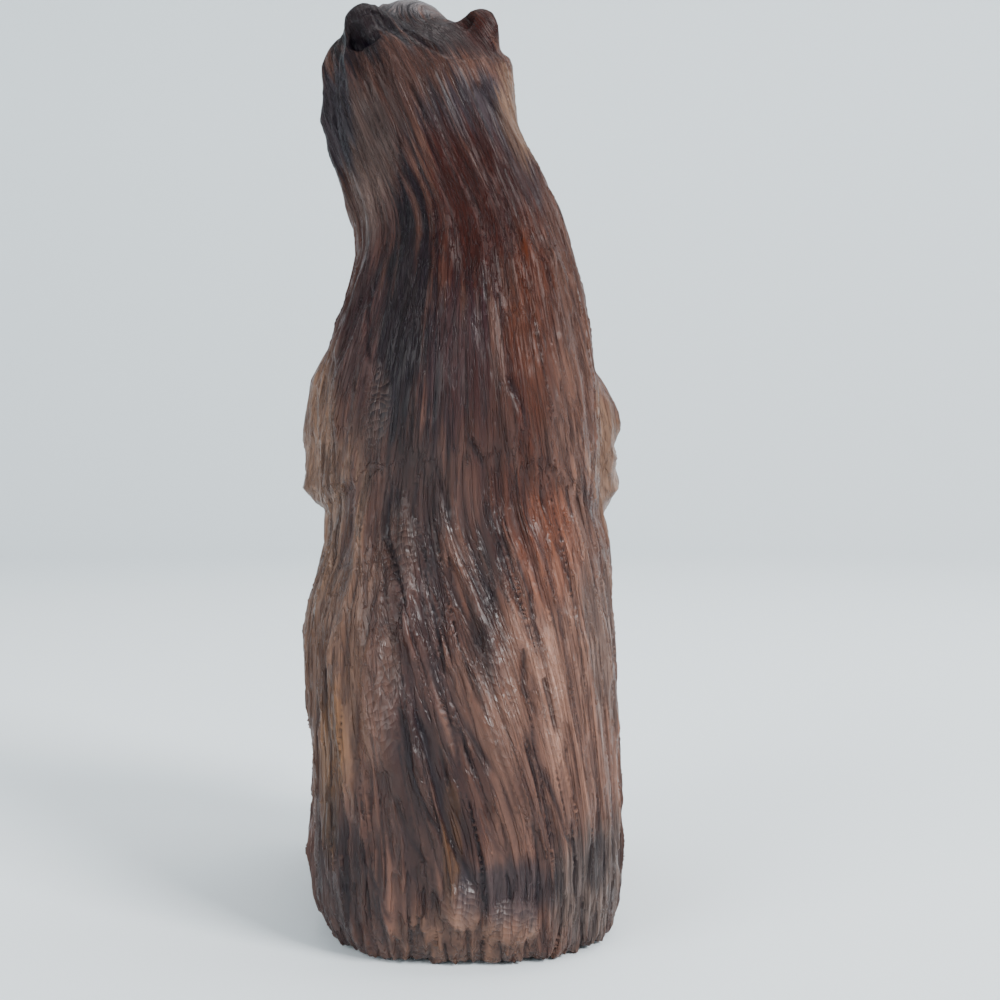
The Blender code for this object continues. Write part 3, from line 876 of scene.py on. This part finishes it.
def figure_sheen_and_shade(tree, where, ragged):
    """The wood's figure, and the crown's painted sheen and shade, each patch over the last."""
    patch = patch_group()
    colour = BROWN
    for tint, place, size, strength in PATCHES:
        node = tree.nodes.new("ShaderNodeGroup")
        node.node_tree = patch
        wire(tree, where, node.inputs["Point"])
        wire(tree, ragged, node.inputs["Ragged"])
        node.inputs["Place"].default_value = [value * MM for value in place]
        node.inputs["Size"].default_value = [value * MM for value in size]
        colour = tinted(tree, colour, node.outputs["Mask"], strength, tint)
    return colour


def streaked(tree, colour, lines):
    """The colour, darkened in streaks along the fur."""
    streaks = noise(tree, mapped(tree, lines, STREAK_GRAIN), 4.0, 0.65)
    streaks = spread_value(tree, streaks, 0.3, 0.7)
    shade = mixed(tree, streaks, STREAK_DARK, STREAK_LIGHT)
    return mixed(tree, 1.0, colour, shade, "MULTIPLY")


def hair_lines(tree, lines):
    node = tree.nodes.new("ShaderNodeGroup")
    node.node_tree = hair_group()
    wire(tree, lines, node.inputs["Lines"])
    node.inputs["Pitch"].default_value = HAIR_GRAIN
    node.inputs["Width"].default_value = HAIR_WIDTH
    return node.outputs["Mask"]


def oiled(tree, shader, where, lines):
    """A satin sheen, weaker up the back."""
    satin = noise(tree, mapped(tree, lines, SATIN_GRAIN), 3.0)
    wire(tree, spread_value(tree, satin, 0.3, 0.7, *ROUGHNESS), shader.inputs["Roughness"])
    level = tree.nodes.new("ShaderNodeSeparateXYZ")
    wire(tree, where, level.inputs[0])
    sheen = spread_value(tree, level.outputs["Z"], *SHEEN_LEVELS, *SHEEN)
    wire(tree, sheen, shader.inputs["Specular IOR Level"])


def fine_relief(tree, shader, lines, hair, chips):
    """Grain and chips that stand up and hair lines that are cut in, as a bump."""
    grain = noise(tree, mapped(tree, lines, FINE_GRAIN), 3.0, 0.6)
    relief = math_node(tree, "SUBTRACT", math_node(tree, "MULTIPLY", grain, 0.5), hair)
    relief = math_node(tree, "ADD", relief, math_node(tree, "MULTIPLY", chips, CHIP_HEIGHT))
    bump = tree.nodes.new("ShaderNodeBump")
    bump.inputs["Strength"].default_value = FINE_STRENGTH
    bump.inputs["Distance"].default_value = FINE_HEIGHT
    wire(tree, relief, bump.inputs["Height"])
    wire(tree, bump.outputs["Normal"], shader.inputs["Normal"])


def hardwood():
    """Oiled dense hardwood: dark and red heart, tan edges, grain along the fur."""
    wood = bpy.data.materials.new("oiled_hardwood")
    wood.use_nodes = True
    tree = wood.node_tree
    shader = tree.nodes["Principled BSDF"]
    where = tree.nodes.new("ShaderNodeTexCoord").outputs["Object"]
    lines = skin_attribute(tree, "flow")["Vector"]
    ragged = noise(tree, mapped(tree, lines, RAGGED_GRAIN), 5.0, 0.6)
    ragged = spread_value(tree, ragged, 0.25, 0.75, -0.6, 0.6)
    hair = hair_lines(tree, lines)
    chips = chip_height(tree, where, ragged)
    colour = streaked(tree, figure_sheen_and_shade(tree, where, ragged), lines)
    # Painted shade: the cut-in hair lines are painted darker, for the shade in them.
    colour = tinted(tree, colour, hair, HAIR_PAINTED_SHADE, DARK)
    # Painted shade: the deeper the chisel cut, the darker the wood is painted, for the shade in the
    # cuts.
    depth = spread_value(tree, skin_attribute(tree, "cut")["Fac"], *CUT_SHADE_DEPTHS)
    colour = tinted(tree, colour, depth, CUT_PAINTED_SHADE, DARK)
    # Painted glint: each chip is painted lighter where it stands highest, for the light caught on
    # its face.
    colour = tinted(tree, colour, chips, CHIP_PAINTED_GLINT, CHIP_GLINT)
    wire(tree, colour, shader.inputs["Base Color"])
    oiled(tree, shader, where, lines)
    fine_relief(tree, shader, lines, hair, chips)
    return wood


def carved_bear():
    skin = bare_skin()
    bm = bmesh.new()
    bm.from_mesh(skin)
    tree = BVHTree.FromBMesh(bm)
    bm.free()
    cloud = stroke_cloud(chisel_strokes(tree, vectors_of(skin, "co")))
    mesh = carved_mesh(skin, cloud, hardwood())
    bpy.data.objects.remove(cloud, do_unlink=True)
    add_flow(mesh)
    mesh.shade_smooth()
    bear = bpy.data.objects.new("carved_bear_fur", mesh)
    bpy.context.collection.objects.link(bear)
    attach(bear, "root")
    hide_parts("carved_bear")
    return bear


def pale(name, colour, roughness):
    material = bpy.data.materials.new(name)
    material.use_nodes = True
    shader = material.node_tree.nodes["Principled BSDF"]
    shader.inputs["Base Color"].default_value = colour
    shader.inputs["Roughness"].default_value = roughness
    return material


STAGE_RADIUS = 1.6  # how far the flat floor reaches
STAGE_RIM = 1.0  # the radius of its turn up into a wall
STAGE_WALL = 2.4  # the top of the wall
STAGE_SIDES = 96


def stage_profile():
    """How far out and how high each ring of the stage lies, from its middle outward."""
    rings = [(STAGE_RADIUS * i / 8, 0.0) for i in range(1, 9)]
    for i in range(1, 17):
        turn = math.radians(90) * i / 16
        rings.append((STAGE_RADIUS + STAGE_RIM * math.sin(turn),
                      STAGE_RIM * (1 - math.cos(turn))))
    return rings + [(STAGE_RADIUS + STAGE_RIM, STAGE_WALL)]


def ring_of(bm, reach, level):
    turns = [2 * math.pi * i / STAGE_SIDES for i in range(STAGE_SIDES)]
    return [bm.verts.new((reach * math.cos(t), reach * math.sin(t), level)) for t in turns]


def stage():
    """A pale floor, flat under the bear and turned up all round far from it."""
    bm = bmesh.new()
    middle = bm.verts.new((0, 0, 0))
    last = None
    for reach, level in stage_profile():
        ring = ring_of(bm, reach, level)
        for i in range(STAGE_SIDES):
            j = (i + 1) % STAGE_SIDES
            side = [ring[i], ring[j]]
            bm.faces.new([middle] + side if last is None else [last[i]] + side + [last[j]])
        last = ring
    mesh = bpy.data.meshes.new("pale_stage")
    bm.to_mesh(mesh)
    bm.free()
    mesh.shade_smooth()
    floor = bpy.data.objects.new("pale_stage", mesh)
    bpy.context.collection.objects.link(floor)
    mesh.materials.append(pale("pale_board", (0.84, 0.90, 0.93, 1.0), 0.8))


def soft_light(name, place, size, watts, target=(0.0, 0.0, 0.09)):
    lamp = bpy.data.lights.new(name, "AREA")
    lamp.shape = "SQUARE"
    lamp.size = size
    lamp.energy = watts
    thing = bpy.data.objects.new(name, lamp)
    thing.location = place
    thing.rotation_euler = (Vector(target) - Vector(place)).to_track_quat("-Z", "Y").to_euler()
    bpy.context.collection.objects.link(thing)


def studio():
    soft_light("window", (-1.05, 0.85, 1.05), 0.5, 38)
    soft_light("fill", (1.0, 0.95, 0.75), 0.8, 13)
    soft_light("backdrop", (-0.6, -0.5, 1.9), 2.0, 38, (-0.6, -2.2, 0.3))
    world = bpy.data.worlds.new("pale_room")
    world.use_nodes = True
    back = world.node_tree.nodes["Background"]
    back.inputs["Color"].default_value = (0.90, 0.95, 1.0, 1.0)
    back.inputs["Strength"].default_value = 0.38
    bpy.context.scene.world = world


def camera():
    eye = bpy.data.cameras.new("camera")
    eye.lens = LENS
    eye.clip_start = 0.01
    eye.clip_end = 20
    thing = bpy.data.objects.new("camera", eye)
    thing.location = CAMERA_PLACE
    thing.rotation_euler = CAMERA_TURN
    bpy.context.collection.objects.link(thing)
    bpy.context.scene.camera = thing


camera()
stage()
studio()
carved_bear()
